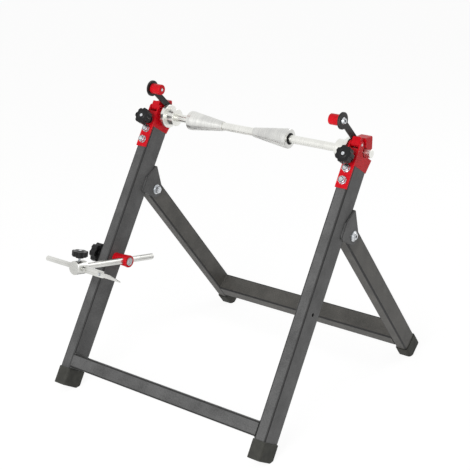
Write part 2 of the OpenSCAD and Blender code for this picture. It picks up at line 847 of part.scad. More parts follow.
module rear_crossbar() {
    half = upright_gap / 2 - leg_w / 2;
    color(frame_grey) on_rear() translate([-half, (rear_bar_d - leg_d) / 2, rear_bar_low + rear_bar_h / 2])
        rotate([90, 0, 90]) linear_extrude(2 * half) tube_section(rear_bar_d, rear_bar_h);
}

module foot_rear(side) {
    color(rubber_grey) above_floor() on_leg(side)
        translate([0, 0, -leg_reach]) foot_cap(leg_w, leg_d);
}

module hinge_bushes() {
    color(plated) for (side = SIDES) on_leg(side) translate([-leg_w / 2, 0, 0]) rotate([0, 90, 0])
        ring(bush_r, pivot_r + run_fit, leg_w);
}

// Gauge

// A flared sleeve, threaded for the stud at its root and bored across for the bar
module gauge_sleeve() {
    waist = sleeve_r - 2.5;
    color(head_red) on_sleeve() difference() {
        rotate_extrude() polygon([
            [0, face_gap], [waist + 0.5, face_gap], [waist, sleeve_len / 4], [sleeve_r - 0.5, sleeve_len - 6],
            [sleeve_r, sleeve_len - 3], [sleeve_r - 1, sleeve_len], [0, sleeve_len]
        ]);
        translate([0, 0, -SPARE]) cylinder(r = stud_r + run_fit, h = gauge_stud_len + 2 * SPARE);
        translate([0, 0, sleeve_len - plug_len]) cylinder(r = plug_r, h = plug_len + SPARE);
        translate([0, 0, sleeve_len - bar_inset]) rotate([0, -90, 0]) rotate([-bar_slope, 0, 0])
            y_rod(bar_r + run_fit, -2 * sleeve_r, 2 * sleeve_r);
    }
}

module gauge_plug() {
    color(plated) on_sleeve() translate([0, 0, sleeve_len - plug_len]) cylinder(r = plug_r, h = plug_len);
}

module gauge_bar() {
    color(plated) on_bar() y_rod(bar_r, -bar_front, bar_rear);
}

// A round block on the bar's front end, cross-bored for the pointer, with a clamp screw from above
module gauge_block() {
    c = 2;
    color(plated) on_bar() difference() {
        translate([0, block_front, 0]) rotate([-90, 0, 0]) rotate_extrude() polygon([
            [0, 0], [block_r - c, 0], [block_r, c], [block_r, block_len - c], [block_r - c, block_len],
            [0, block_len]
        ]);
        y_rod(bar_r, -bar_front, 0);
        translate([0, block_y, 0]) {
            x_rod(pointer_r + run_fit, -2 * block_r, 2 * block_r);
            cylinder(r = small_screw_r + run_fit, h = 2 * block_r);
        }
    }
}

// A rod that slides through the block, with a flat blade on its inner end
module gauge_pointer() {
    color(plated) on_bar() translate([0, block_y, 0]) difference() {
        union() {
            x_rod(pointer_r, -pointer_left, blade_x + blade_t);
            translate([blade_x, -blade_t / 2, -blade_h / 2]) cube([blade_len - blade_x, blade_t, blade_h]);
        }
        translate([blade_len - tip_lap / 2, 0, 0]) y_rod(tip_screw_r, -blade_t, blade_t);
    }
}

// A flat tip screwed to the front of the blade, which narrows to a point on its lower edge
module pointer_tip() {
    color(plated) on_bar() translate([blade_len, block_y - blade_t / 2, 0]) difference() {
        rotate([90, 0, 0]) linear_extrude(tip_t) polygon([
            [-tip_lap, -tip_w / 2], [tip_len, -tip_w / 2], [tip_len, tip_blunt - tip_w / 2],
            [tip_len - tip_taper, tip_w / 2], [-tip_lap, tip_w / 2]
        ]);
        translate([-tip_lap / 2, 0, 0]) y_rod(tip_screw_r, -tip_t - SPARE, SPARE);
    }
}

module pointer_screw() {
    face = -blade_t / 2 - tip_t;
    color(plated) on_bar() translate([blade_len - tip_lap / 2, block_y, 0]) union() {
        y_rod(tip_screw_r, face - tip_head_h / 2, blade_t / 2);
        y_rod(tip_head_r, face - tip_head_h, face);
    }
}

module gauge_knob_small() {
    on_bar() translate([0, block_y, small_knob_z])
        star_knob(small_knob_r, small_hub_h, small_head_h, small_screw_r);
}

module gauge_screw_small() {
    tip = pointer_r + face_gap;
    color(plated) on_bar() translate([0, block_y, tip])
        cylinder(r = small_screw_r, h = small_knob_z + knob_socket - tip);
}

module gauge_knob_large() {
    on_sleeve() translate([0, 0, -tube_w - washer_t - face_gap]) mirror([0, 0, 1])
        star_knob(gauge_knob_r, gauge_hub_h, knob_head_h, stud_r);
}

module gauge_stud_large() {
    out = tube_w + washer_t + face_gap + knob_socket;
    color(plated) on_sleeve() translate([0, 0, -out]) cylinder(r = stud_r, h = out + gauge_stud_len);
}

upright(LEFT);  // upright_left
upright(RIGHT);  // upright_right
front_crossbar();
foot_front(LEFT);  // foot_front_left
foot_front(RIGHT);  // foot_front_right
hinge_bracket(LEFT);  // hinge_bracket_left
hinge_bracket(RIGHT);  // hinge_bracket_right
frame_bolts();
frame_nuts();
frame_washers();
head_bracket(LEFT);  // head_bracket_left
head_bracket(RIGHT);  // head_bracket_right
cradle(LEFT);  // cradle_left
cradle(RIGHT);  // cradle_right
bearing_outer(LEFT);  // bearing_outer_left
bearing_outer(RIGHT);  // bearing_outer_right
keeper_pins();
head_knob(LEFT);  // head_knob_left
head_knob(RIGHT);  // head_knob_right
head_stud(LEFT);  // head_stud_left
head_stud(RIGHT);  // head_stud_right
keeper_cap(LEFT);  // keeper_cap_left
keeper_cap(RIGHT);  // keeper_cap_right
keeper_lever(LEFT);  // keeper_lever_left
keeper_lever(RIGHT);  // keeper_lever_right
keeper_grip(LEFT);  // keeper_grip_left
keeper_grip(RIGHT);  // keeper_grip_right
keeper_bolt(LEFT);  // keeper_bolt_left
keeper_bolt(RIGHT);  // keeper_bolt_right
balance_shaft();
bearing_inner(LEFT);  // bearing_inner_left
bearing_inner(RIGHT);  // bearing_inner_right
collar(LEFT);  // collar_left
collar(RIGHT);  // collar_right
collar_screws();
bearing_balls(LEFT);  // bearing_balls_left
bearing_balls(RIGHT);  // bearing_balls_right
cone(LEFT);  // cone_left
cone(RIGHT);  // cone_right
cone_screw(LEFT);  // cone_screw_left
cone_screw(RIGHT);  // cone_screw_right
cone_ring(LEFT);  // cone_ring_left
cone_ring(RIGHT);  // cone_ring_right
rear_leg(LEFT);  // rear_leg_left
rear_leg(RIGHT);  // rear_leg_right
rear_crossbar();
foot_rear(LEFT);  // foot_rear_left
foot_rear(RIGHT);  // foot_rear_right
hinge_bushes();
gauge_sleeve();
gauge_plug();
gauge_bar();
gauge_block();
gauge_pointer();
pointer_tip();
pointer_screw();
gauge_knob_small();
gauge_screw_small();
gauge_knob_large();
gauge_stud_large();
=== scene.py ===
"""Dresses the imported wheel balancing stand: finishes, softened edges, welds, threads and a plain studio."""

import json
import math

import bmesh
import bpy
from mathutils import Matrix, Vector


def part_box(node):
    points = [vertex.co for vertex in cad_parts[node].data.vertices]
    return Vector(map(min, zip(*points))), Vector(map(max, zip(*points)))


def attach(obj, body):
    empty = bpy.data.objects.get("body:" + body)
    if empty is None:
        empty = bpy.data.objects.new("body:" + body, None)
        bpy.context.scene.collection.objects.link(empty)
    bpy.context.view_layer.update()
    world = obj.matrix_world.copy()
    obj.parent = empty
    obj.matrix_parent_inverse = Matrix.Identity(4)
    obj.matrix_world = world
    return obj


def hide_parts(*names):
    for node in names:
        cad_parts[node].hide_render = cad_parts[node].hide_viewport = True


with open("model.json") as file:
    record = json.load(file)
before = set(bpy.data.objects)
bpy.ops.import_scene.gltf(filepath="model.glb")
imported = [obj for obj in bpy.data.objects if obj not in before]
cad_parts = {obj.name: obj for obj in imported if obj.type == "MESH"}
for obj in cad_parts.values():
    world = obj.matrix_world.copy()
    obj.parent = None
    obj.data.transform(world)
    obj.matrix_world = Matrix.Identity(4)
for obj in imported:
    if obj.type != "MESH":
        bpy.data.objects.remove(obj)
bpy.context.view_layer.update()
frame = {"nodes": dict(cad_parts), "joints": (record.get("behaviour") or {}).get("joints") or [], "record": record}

bl_info = {
    "name": "Wheel balancing stand",
    "version": (1, 0, 0),
    "blender": (4, 5, 0),
    "location": "3D View > Sidebar > Stand",
    "description": "Finishes and fine detail for a folding wheel balancing stand",
    "category": "Object",
}

MM = 0.001
SIDES = {"left": -1, "right": 1}
JOINTS = {joint["name"]: joint for joint in frame["joints"]}

# Places and directions from the frame, in metres; UPRIGHT_X is from the stand's middle to an upright's
SHAFT = Vector(JOINTS["shaft_spin"]["pos_m"])
PIVOT = Vector(JOINTS["rear_fold"]["pos_m"])
FORWARD = Vector(JOINTS["head_knob_left_turn"]["axis"])
SIDEWAYS = Vector((1, 0, 0))
UPRIGHT_X = sum((corner.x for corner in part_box("upright_right")), 0.0) / 2 - SHAFT.x

# Places on an upright in millimetres, where n is back from its front face and s is up from its sole: the
# shaft's axis, the fold axis, the edge of a hinge bracket's lap, the head bolts, and a head knob's stud
# and face
AXIS_N = 30
AXIS_S = 738
PIVOT_N = 91
PIVOT_S = 553
LAP_N = 42
HEAD_BOLT_S = (686, 657)
STUD_S = 710
KNOB_FACE_N = -42.1

# Width of an upright's tube, and height of the small knob's face over its joint, in millimetres
TUBE_W = 30
SMALL_KNOB_FACE = 42.2

# Lean of the rear legs from plumb, and slope of the gauge's bar
LEG_LEAN = math.radians(39.5)
BAR_SLOPE = math.radians(11.6)

# How meshes are read: points this close are one, edges flatter than FLAT go, those over SHARP are rounded,
# those over CREASE shade as edges, and a tube's flats lie this SQUARE to its axes
MERGE = 0.002 * MM
FLAT = math.radians(0.5)
SHARP = math.radians(32)
CREASE = math.radians(40)
SQUARE = 0.9995


# Shared settings


def linear(hex_colour):
    """A linear colour from an sRGB hex value."""
    parts = [int(hex_colour[i:i + 2], 16) / 255 for i in (1, 3, 5)]
    return [v / 12.92 if v <= 0.04045 else ((v + 0.055) / 1.055) ** 2.4 for v in parts] + [1.0]


def tone(label, words, hex_colour):
    """A colour setting."""
    return bpy.props.FloatVectorProperty(
        name=label, description=words, default=linear(hex_colour), size=4, min=0.0, max=1.0, subtype="COLOR"
    )


def length(label, words, value_mm):
    """A length setting, given in millimetres."""
    return bpy.props.FloatProperty(
        name=label, description=words, default=value_mm * MM, min=0.0, unit="LENGTH", precision=5
    )


class StandFinish(bpy.types.PropertyGroup):
    """Colours of the stand's finishes."""

    frame_dark: tone("Frame, dark", "Darker tone of the front frame's powder coat", "#414141")
    frame_light: tone("Frame, light", "Lighter tone of the front frame's powder coat", "#636363")
    rear_dark: tone("Rear frame, dark", "Darker tone of the rear frame's powder coat", "#3f3e3b")
    rear_light: tone("Rear frame, light", "Lighter tone of the rear frame's powder coat", "#5f5d59")
    # Painted shade: a dark tone laid along the tubes' round corners and the hinge brackets' rounded edges
    frame_corner_shade: tone("Frame, corners", "Tone of the tubes' round corners", "#232323")
    red_dark: tone("Red, dark", "Darker tone of the heads' red coat", "#c60d1a")
    red_light: tone("Red, light", "Lighter tone of the heads' red coat", "#dc1424")
    red_worn: tone("Red, worn", "Tone of rubbed edges of the red pieces", "#ea6a66")
    rubber_dark: tone("Rubber, dark", "Darker tone of the feet", "#2c2c29")
    rubber_light: tone("Rubber, light", "Lighter tone of the feet", "#42423d")
    rubber_worn: tone("Rubber, worn", "Tone of rubbed edges of the feet", "#4a4a45")
    plastic_dark: tone("Knobs, dark", "Darker tone of the star knobs", "#0f0f10")
    plastic_light: tone("Knobs, light", "Lighter tone of the star knobs", "#1b1b1c")
    plastic_worn: tone("Knobs, worn", "Tone of rubbed edges of the star knobs", "#2c2c2d")
    oxide_dark: tone("Black steel, dark", "Darker tone of the blackened steel", "#151515")
    oxide_light: tone("Black steel, light", "Lighter tone of the blackened steel", "#2a2928")
    oxide_worn: tone("Black steel, worn", "Tone of rubbed edges of the blackened steel", "#6d6a66")
    shaft_dark: tone("Shaft, dark", "Darker tone of the ground shaft and its collars", "#dcdcd7")
    shaft_light: tone("Shaft, light", "Lighter tone of the ground shaft and its collars", "#efefea")
    steel_dark: tone("Steel, dark", "Darker tone of the gauge's drawn rods and the bearings", "#b8b8b4")
    steel_light: tone("Steel, light", "Lighter tone of the gauge's drawn rods and the bearings", "#e4e4e0")
    aluminium_dark: tone("Aluminium, dark", "Darker tone of the cones", "#c6c6c4")
    aluminium_light: tone("Aluminium, light", "Lighter tone of the cones", "#e6e6e2")
    zinc_dark: tone("Zinc, dark", "Darker tone of the plated fasteners", "#aeb2b6")
    zinc_light: tone("Zinc, light", "Lighter tone of the plated fasteners", "#e4e6e8")
    # Painted shade: a dark tone laid along the rounded edges of the plated fasteners
    zinc_edge_shade: tone("Zinc, edges", "Tone of the painted shade along the plated fasteners' edges", "#3c3f42")


class StandDetail(bpy.types.PropertyGroup):
    """Sizes of the fine detail."""

    plate_edge: length("Plate edge", "Rounding of the edges of cut and bent plate", 0.7)
    block_edge: length("Block edge", "Rounding of the edges of the red blocks", 1.1)
    rubber_edge: length("Foot edge", "Rounding of the edges of the rubber feet", 1.6)
    knob_edge: length("Knob edge", "Rounding of the edges of the star knobs", 1.8)
    screw_edge: length("Screw edge", "Rounding of the edges of bolts and nuts", 0.5)
    bead_radius: length("Weld bead", "Radius of a weld bead", 2.0)
    bead_ripple: length("Weld ripple", "Length of one ripple of a weld bead", 2.4)
    thread_pitch: length("Thread pitch", "Pitch of the screw threads", 1.25)
    thread_depth: length("Thread depth", "Depth of the screw threads", 0.6)


class StandStage(bpy.types.PropertyGroup):
    """The studio: floor, light and camera."""

    floor_tone: bpy.props.FloatVectorProperty(
        name="Floor", description="Colour of the floor", default=linear("#f4f4f3"), size=4, subtype="COLOR"
    )
    floor_span: bpy.props.FloatProperty(
        name="Floor span", description="Side of the square floor", default=40.0, unit="LENGTH"
    )
    floor_glow: bpy.props.FloatProperty(
        name="Floor glow", description="Share of the floor that stays white under the shadow", default=0.8,
        min=0.0, max=1.0, subtype="FACTOR",
    )
    ambient: bpy.props.FloatProperty(
        name="Ambient", description="Level of the even light from all round", default=0.38, min=0.0
    )
    key_power: bpy.props.FloatProperty(
        name="Key light", description="Power of the large front lamp", default=56.0, unit="POWER"
    )
    rim_power: bpy.props.FloatProperty(
        name="Back light", description="Power of the lamp behind the stand", default=12.0, unit="POWER"
    )
    lens: bpy.props.FloatProperty(name="Lens", description="Focal length in millimetres", default=83.87)


def finish_values():
    """The finishes as set."""
    return bpy.context.scene.stand_finish


def detail_values():
    """The fine detail as set."""
    return bpy.context.scene.stand_detail


# Materials

# Detail of the two noises, the spans that the grain and the sum of both run over, and the grain's height
GRAIN_DETAIL = 3.0
DRIFT_DETAIL = 4.0
GRAIN_SPAN = (0.3, 0.7)
SUM_SPAN = (0.7, 1.3)
GRAIN_HEIGHT = 0.4 * MM


def add(tree, kind, inputs=None, **settings):
    """Adds a node, sets it up, and links or fills its inputs."""
    node = tree.nodes.new(kind)
    for name, value in settings.items():
        setattr(node, name, value)
    for name, value in (inputs or {}).items():
        if isinstance(value, bpy.types.NodeSocket):
            tree.links.new(value, node.inputs[name])
        else:
            node.inputs[name].default_value = value
    return node


def noise(tree, place, size_mm, detail, turn=(0, 0, 0)):
    """A noise whose grain measures size_mm along x, y and z."""
    scale = [size * MM for size in size_mm]
    mapped = add(tree, "ShaderNodeMapping", {"Vector": place, "Rotation": turn, "Scale": scale},
                 vector_type="TEXTURE").outputs[0]
    return add(tree, "ShaderNodeTexNoise", {"Vector": mapped, "Scale": 1.0, "Detail": detail}).outputs[0]


def spread(tree, value, span, to=(0.0, 1.0)):
    """Stretches one span of values to another."""
    ends = {"From Min": span[0], "From Max": span[1], "To Min": to[0], "To Max": to[1]}
    return add(tree, "ShaderNodeMapRange", {"Value": value, **ends}).outputs[0]


def mixed(tree, share, first, second):
    """A mix of two colours, whose sockets are numbered because the mix node repeats their names."""
    return add(tree, "ShaderNodeMix", {0: share, 6: first, 7: second}, data_type="RGBA").outputs[2]


def surface(name, tones, rough, grain_mm, relief, tone_mm=40, turn=(0, 0, 0), edge_wear_and_shade=None, wear_and_shade_span=(0.42, 0.68),
            **sockets):
    """A finish whose colour drifts between two tones, with a grain that sets its gloss and relief.

    grain_mm is the size of the grain along x, y and z, edge_wear_and_shade the tone that marked edges show
    (rubbed wear on most finishes, painted shade on the powder coats and the zinc), and wear_and_shade_span
    the span of the drift over which they go from none of it to all of it.
    """
    if name in bpy.data.materials:
        return bpy.data.materials[name]
    material = bpy.data.materials.new(name)
    material.use_nodes = True
    tree = material.node_tree
    tree.nodes.clear()
    place = add(tree, "ShaderNodeTexCoord").outputs["Object"]
    grain = noise(tree, place, grain_mm, GRAIN_DETAIL, turn)
    drift = noise(tree, place, (tone_mm,) * 3, DRIFT_DETAIL)
    both = add(tree, "ShaderNodeMath", {0: grain, 1: drift}, operation="ADD").outputs[0]
    colour = mixed(tree, spread(tree, both, SUM_SPAN), *tones)
    # Marked edges take the edge tone: rubbed wear on the red, rubber, knob and black steel finishes, painted shade
    # on the powder coats and the zinc
    if edge_wear_and_shade:
        edge = add(tree, "ShaderNodeAttribute", attribute_name="edge").outputs["Fac"]
        rub = spread(tree, drift, wear_and_shade_span)
        wear_and_shade_mask = add(tree, "ShaderNodeMath", {0: edge, 1: rub}, operation="MULTIPLY").outputs[0]
        colour = mixed(tree, wear_and_shade_mask, colour, edge_wear_and_shade)
    gloss = spread(tree, grain, GRAIN_SPAN, rough)
    bump = add(tree, "ShaderNodeBump", {"Height": grain, "Strength": relief, "Distance": GRAIN_HEIGHT})
    shader = add(tree, "ShaderNodeBsdfPrincipled", {"Base Color": colour, "Roughness": gloss,
                                                    "Normal": bump.outputs[0], **sockets})
    add(tree, "ShaderNodeOutputMaterial", {"Surface": shader.outputs[0]})
    return material


def powder_coat():
    # Anthracite powder coat on steel tube: satin, with a fine orange-peel grain. The real grain of about
    # 0.5 mm is drawn at 2.4 mm so that it shows.
    # Its round corners and rounded edges are painted darker, as painted shade
    f = finish_values()
    return surface("powder_coated_steel_anthracite", (f.frame_dark, f.frame_light), rough=(0.40, 0.56),
                   grain_mm=(2.4,) * 3, relief=0.30, tone_mm=55, edge_wear_and_shade=f.frame_corner_shade, wear_and_shade_span=(0.1, 0.4),
                   **{"Specular IOR Level": 0.35})


def rear_coat():
    # The same coat from another batch, a touch warmer, as on the rear frame
    # Its round corners are painted darker in the same way, as painted shade
    f = finish_values()
    return surface("powder_coated_steel_warm_grey", (f.rear_dark, f.rear_light), rough=(0.42, 0.58),
                   grain_mm=(2.4,) * 3, relief=0.30, tone_mm=55, edge_wear_and_shade=f.frame_corner_shade, wear_and_shade_span=(0.1, 0.4),
                   **{"Specular IOR Level": 0.35})


def red_coat():
    # Gloss red powder coat: a smooth bright film with a faint long wave, paler where edges rub
    f = finish_values()
    return surface("powder_coated_steel_red", (f.red_dark, f.red_light), rough=(0.26, 0.38),
                   grain_mm=(4.0,) * 3, relief=0.10, tone_mm=30, edge_wear_and_shade=f.red_worn,
                   **{"Specular IOR Level": 0.14})


def moulded_rubber():
    # Moulded rubber: dull, with the fine pitting of a sparked mould, drawn at 1.6 mm so that it shows
    f = finish_values()
    return surface("moulded_rubber", (f.rubber_dark, f.rubber_light), rough=(0.66, 0.86),
                   grain_mm=(1.6,) * 3, relief=0.30, tone_mm=18, edge_wear_and_shade=f.rubber_worn,
                   **{"Specular IOR Level": 0.35})


def black_rubber():
    # Soft black rubber of the cones' rings: matt and even, with a faint bloom drawn at 1.2 mm
    f = finish_values()
    return surface("moulded_rubber_black", (f.plastic_dark, f.plastic_light), rough=(0.58, 0.76),
                   grain_mm=(1.2,) * 3, relief=0.12, tone_mm=10, **{"Specular IOR Level": 0.2})


def moulded_plastic():
    # Glass-filled nylon, moulded: near black, half gloss, with a faint leathery skin drawn at 1.4 mm
    f = finish_values()
    return surface("moulded_nylon_black", (f.plastic_dark, f.plastic_light), rough=(0.28, 0.44),
                   grain_mm=(1.4,) * 3, relief=0.12, tone_mm=14, edge_wear_and_shade=f.plastic_worn,
                   **{"Specular IOR Level": 0.22})


def black_oxide():
    # Blackened steel: a thin dark film over metal, with an oily sheen and brighter rubbed edges
    f = finish_values()
    return surface("black_oxide_steel", (f.oxide_dark, f.oxide_light), rough=(0.34, 0.50),
                   grain_mm=(2.0,) * 3, relief=0.10, tone_mm=16, edge_wear_and_shade=f.oxide_worn, **{"Metallic": 0.55})


def turned_steel():
    # Ground and turned steel: satin white metal with fine rings round the shaft's axis, drawn at 0.9 mm
    f = finish_values()
    return surface("ground_and_turned_steel", (f.shaft_dark, f.shaft_light), rough=(0.20, 0.36),
                   grain_mm=(0.9, 90, 90), relief=0.04, tone_mm=60, **{"Metallic": 1.0})


def drawn_steel(label, grain_mm):
    # Bright drawn rod: long streaks from the die, along the rod. The grain is turned to the bar's slope.
    f = finish_values()
    return surface("bright_drawn_steel_" + label, (f.steel_dark, f.steel_light), rough=(0.22, 0.38),
                   grain_mm=grain_mm, relief=0.08, tone_mm=60, turn=(-BAR_SLOPE, 0, 0), **{"Metallic": 1.0})


def turned_aluminium():
    # Turned aluminium: soft white metal, with tool rings round the axis at the feed of 0.8 mm
    f = finish_values()
    return surface("lathe_turned_aluminium", (f.aluminium_dark, f.aluminium_light), rough=(0.26, 0.42),
                   grain_mm=(0.8, 70, 70), relief=0.10, tone_mm=40, **{"Metallic": 1.0})


def bright_zinc():
    # Bright zinc plate: bluish white metal with a faint mottle of the passivated film, with painted shade
    # darkening its marked edges
    f = finish_values()
    return surface("bright_zinc_plated_steel", (f.zinc_dark, f.zinc_light), rough=(0.18, 0.34),
                   grain_mm=(3.0,) * 3, relief=0.06, tone_mm=9, edge_wear_and_shade=f.zinc_edge_shade, wear_and_shade_span=(0.1, 0.4),
                   **{"Metallic": 1.0})


def bearing_steel():
    # Lapped bearing steel: mirror bright, with only a breath of haze
    f = finish_values()
    return surface("lapped_bearing_steel", (f.steel_dark, f.steel_light), rough=(0.08, 0.16),
                   grain_mm=(1.2, 60, 60), relief=0.03, tone_mm=25, **{"Metallic": 1.0})


# Shapes


def on_upright(side, x=0, n=0, s=0):
    """A place on an upright: x outwards, y back, z up the tube."""
    back = -FORWARD
    up = SIDEWAYS.cross(back)
    middle = SHAFT + back * ((n - AXIS_N) * MM) + up * ((s - AXIS_S) * MM)
    middle = middle + SIDEWAYS * (side * (UPRIGHT_X + x * MM))
    turn = Matrix((SIDEWAYS * side, back, up)).transposed()
    return Matrix.Translation(middle) @ turn.to_4x4()


def on_leg(side, x=0, y=0, z=0):
    """A place on a rear leg: x outwards, y to its back, z up it, from the fold axis."""
    middle = Matrix.Translation(PIVOT + SIDEWAYS * (side * UPRIGHT_X))
    mirror = Matrix.Diagonal((side, 1, 1, 1))
    return middle @ Matrix.Rotation(LEG_LEAN, 4, "X") @ mirror @ Matrix.Translation(Vector((x, y, z)) * MM)


def facing(place, direction):
    """A place whose z points along a direction."""
    return Matrix.Translation(place) @ direction.to_track_quat("Z", "Y").to_matrix().to_4x4()


def forwards(side, n, s):
    """A place on an upright whose z points out of its front."""
    return on_upright(side, 0, n, s) @ Matrix.Rotation(math.pi / 2, 4, "X")


def lathe(bm, place, profile_mm, steps=32):
    """Spins a profile of radius and height round z."""
    first = len(bm.verts)
    verts = [bm.verts.new((r * MM, 0, z * MM)) for r, z in profile_mm]
    edges = [bm.edges.new(pair) for pair in zip(verts, verts[1:])]
    bmesh.ops.spin(bm, geom=verts + edges, cent=(0, 0, 0), axis=(0, 0, 1), angle=2 * math.pi, steps=steps,
                   use_merge=True)
    bm.verts.ensure_lookup_table()
    bmesh.ops.transform(bm, matrix=place, verts=bm.verts[first:])


def bead(bm, start, end):
    """A weld bead between two places: a rippled rod that tapers at both ends."""
    d = detail_values()
    run = end - start
    ripples = max(2, round(run.length / d.bead_ripple))
    step = run.length / ripples / MM
    crest = d.bead_radius / MM
    trough = crest * 0.84
    taper = 0.12 * step
    profile = [(0, 0)]
    for i in range(ripples):
        profile += [(trough, i * step + taper), (crest, (i + 0.5) * step)]
    profile += [(trough, ripples * step - taper), (0, ripples * step)]
    lathe(bm, facing(start, run), profile, steps=10)


def thread(bm, place, radius, low, high):
    """A threaded rod on z, its ends chamfered to the thread's root."""
    d = detail_values()
    root = radius - d.thread_depth / MM
    turns = max(1, round((high - low) * MM / d.thread_pitch))
    pitch = (high - low) / turns
    profile = [(0, low), (root, low)]
    for i in range(turns):
        profile += [(radius, low + (i + 0.5) * pitch), (root, low + (i + 1) * pitch)]
    lathe(bm, place, profile + [(0, high)], steps=24)


def closed(bm):
    """Merges doubles and turns every face outwards."""
    bmesh.ops.remove_doubles(bm, verts=bm.verts, dist=MERGE)
    bmesh.ops.recalc_face_normals(bm, faces=bm.faces)
    return bm


def copied(node):
    """A copy of a CAD node's mesh, and the layer that marks its faces as edges."""
    bm = bmesh.new()
    bm.from_mesh(frame["nodes"][node].data)
    mark = bm.faces.layers.float.new("edge")
    bmesh.ops.remove_doubles(bm, verts=bm.verts, dist=MERGE)
    return bm, mark


def softened(node, width, segments=2):
    """A copy of a CAD node's mesh with its sharp edges rounded, and the rounds marked for the edge tone, which is
    rubbed wear on most finishes and painted shade on the powder coat and the zinc.
    """
    bm, mark = copied(node)
    bmesh.ops.dissolve_limit(bm, angle_limit=FLAT, verts=bm.verts, edges=bm.edges)
    edges = [e for e in bm.edges if len(e.link_faces) == 2 and e.calc_face_angle() > SHARP]
    made = bmesh.ops.bevel(bm, geom=edges, offset=width, offset_type="OFFSET", segments=segments,
                           profile=0.5, affect="EDGES", material=-1, clamp_overlap=True, loop_slide=True)
    for face in made["faces"]:
        face[mark] = 1.0
    return bm


def cornered(node, axes):
    """A copy of a tube's mesh, with the faces of its round corners marked for the coat's painted shade."""
    bm, mark = copied(node)
    for face in bm.faces:
        face.normal_update()
        squareness = max(abs(face.normal.dot(axis)) for axis in axes)
        face[mark] = 1.0 if squareness < SQUARE else 0.0
    return bm


def piece(name, bm, material, body, slot, *nodes):
    """Makes an object of a bmesh, hangs it on its body and hides the CAD nodes that it stands in for."""
    if not bm.faces:
        raise RuntimeError(name + " has no faces")
    mesh = bpy.data.meshes.new(name)
    bm.to_mesh(mesh)
    bm.free()
    mesh.materials.append(material)
    mesh.shade_smooth()
    mesh.set_sharp_from_angle(angle=CREASE)
    made = bpy.data.objects.new(name, mesh)
    bpy.context.scene.collection.objects.link(made)
    weights = made.modifiers.new("flat faces stay flat", "WEIGHTED_NORMAL")
    weights.keep_sharp = True
    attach(made, body)
    if nodes:
        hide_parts(*nodes)
    return made


def body_of(node):
    """The body that a CAD node belongs to."""
    return next(body for body, nodes in frame["record"]["behaviour"]["bodies"].items() if node in nodes)


def soften(node, width, material, slot, segments=2):
    """Stands a softened copy in for a CAD node."""
    return piece(node + "_finished", softened(node, width, segments), material, body_of(node), slot, node)


def dress(nodes, material):
    """Gives CAD nodes that keep their own shape a better material."""
    for node in nodes:
        for slot in frame["nodes"][node].material_slots:
            slot.material = material


def sided(*names):
    """The left and right node of each name."""
    return [f"{name}_{side}" for name in names for side in SIDES]


# Operators, one for each group of like pieces


class STAND_OT_tubes(bpy.types.Operator):
    """Coat the uprights, crossbars and rear legs"""

    bl_idname = "stand.tubes"
    bl_label = "Frame tubes"

    def execute(self, context):
        up = SIDEWAYS.cross(-FORWARD)
        # The marked round corners take the coats' painted shade
        for node in sided("upright") + ["front_crossbar"]:
            bm = cornered(node, (SIDEWAYS, FORWARD, up))
            piece(node + "_finished", bm, powder_coat(), "frame", "frame_paint", node)
        leg = on_leg(1).to_3x3()
        for node in sided("rear_leg") + ["rear_crossbar"]:
            bm = cornered(node, leg.col)
            piece(node + "_finished", bm, rear_coat(), "rear_frame", "frame_paint", node)
        return {"FINISHED"}


class STAND_OT_welds(bpy.types.Operator):
    """Lay the weld beads at the crossbars' ends and along the hinge brackets"""

    bl_idname = "stand.welds"
    bl_label = "Welds"

    # Ends of the beads over, under and behind the front crossbar, as n and s
    FRONT_LINES = (((2, 83.6), (34, 83.6)), ((2, 47.4), (34, 47.4)), ((35.6, 50), (35.6, 81)))
    # Places of the beads under and over the rear crossbar, up a leg from the fold axis, and half their run
    REAR_HEIGHTS = (-509.5, -468.5)
    REAR_HALF = 22
    # Half the run of the bead on each lap of a hinge bracket, and how far ahead of the lap it lies
    LAP_HALF = 18
    LAP_AHEAD = 0.8
    # How far the middle of a bead lies off the tube, at a crossbar and at a lap
    BAR_GAP = 0.6
    LAP_GAP = 1

    def execute(self, context):
        half = TUBE_W / 2
        inner = -half - self.BAR_GAP
        lap_n = LAP_N - self.LAP_AHEAD
        lap_heights = (PIVOT_S - self.LAP_HALF, PIVOT_S + self.LAP_HALF)
        rear_ends = (-self.REAR_HALF, self.REAR_HALF)
        front = bmesh.new()
        rear = bmesh.new()
        for side in SIDES.values():
            for line in self.FRONT_LINES:
                bead(front, *[on_upright(side, inner, n, s).translation for n, s in line])
            for x in (-half - self.LAP_GAP, half + self.LAP_GAP):
                bead(front, *[on_upright(side, x, lap_n, s).translation for s in lap_heights])
            for z in self.REAR_HEIGHTS:
                bead(rear, *[on_leg(side, inner, y, z).translation for y in rear_ends])
        piece("front_welds", closed(front), powder_coat(), "frame", "frame_paint")
        piece("rear_welds", closed(rear), rear_coat(), "rear_frame", "frame_paint")
        return {"FINISHED"}


class STAND_OT_hinges(bpy.types.Operator):
    """Soften the hinge brackets and finish the bushes"""

    bl_idname = "stand.hinges"
    bl_label = "Fold hinges"

    def execute(self, context):
        for node in sided("hinge_bracket"):
            soften(node, detail_values().plate_edge, powder_coat(), "frame_paint")
        dress(["hinge_bushes"], bright_zinc())
        return {"FINISHED"}


class STAND_OT_feet(bpy.types.Operator):
    """Mould the rubber feet"""

    bl_idname = "stand.feet"
    bl_label = "Feet"

    def execute(self, context):
        for node in sided("foot_front", "foot_rear"):
            soften(node, detail_values().rubber_edge, moulded_rubber(), "rubber", segments=3)
        return {"FINISHED"}


